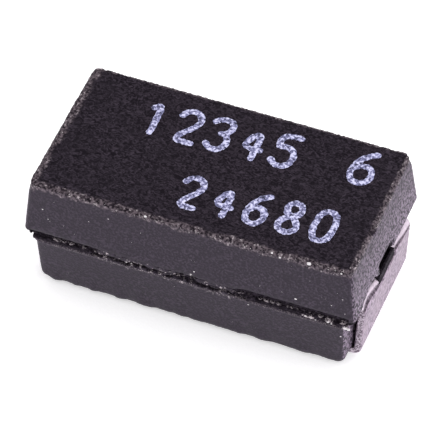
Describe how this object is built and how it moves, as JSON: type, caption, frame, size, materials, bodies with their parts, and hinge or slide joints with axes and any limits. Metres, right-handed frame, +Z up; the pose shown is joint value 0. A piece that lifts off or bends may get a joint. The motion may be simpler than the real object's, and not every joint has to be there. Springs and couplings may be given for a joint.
{
  "type": "smd chip resistor",
  "caption": "Moulded surface-mount precision resistor: a drafted plastic body around an etched foil element, with a folded sheet terminal and solder foot at each end.",
  "frame": {"origin": "middle of the footprint, on the plane of the two solder feet", "axes": "+X along the body, from the left terminal to the right one; +Z up, away from the board"},
  "size_m": [0.006, 0.003, 0.0024],
  "materials": {
    "moulding_compound": "fine-grained matte epoxy moulding compound, near black",
    "tinned_copper": "matte tin plating on folded copper sheet",
    "alumina": "unglazed white alumina",
    "bonding_cement": "cured amber resin",
    "resistance_foil": "rolled and etched nickel-chromium foil",
    "solder": "satin solder",
    "silicone_coat": "soft red silicone"
  },
  "bodies": {
    "root": {"moulded_body": "moulding_compound", "terminal_left": "tinned_copper", "terminal_right": "tinned_copper", "ceramic_substrate": "alumina", "bonding_layer": "bonding_cement", "foil_element": "resistance_foil", "solder_joint_left": "solder", "solder_joint_right": "solder", "cushion_coat": "silicone_coat"}
  },
  "joints": []
}
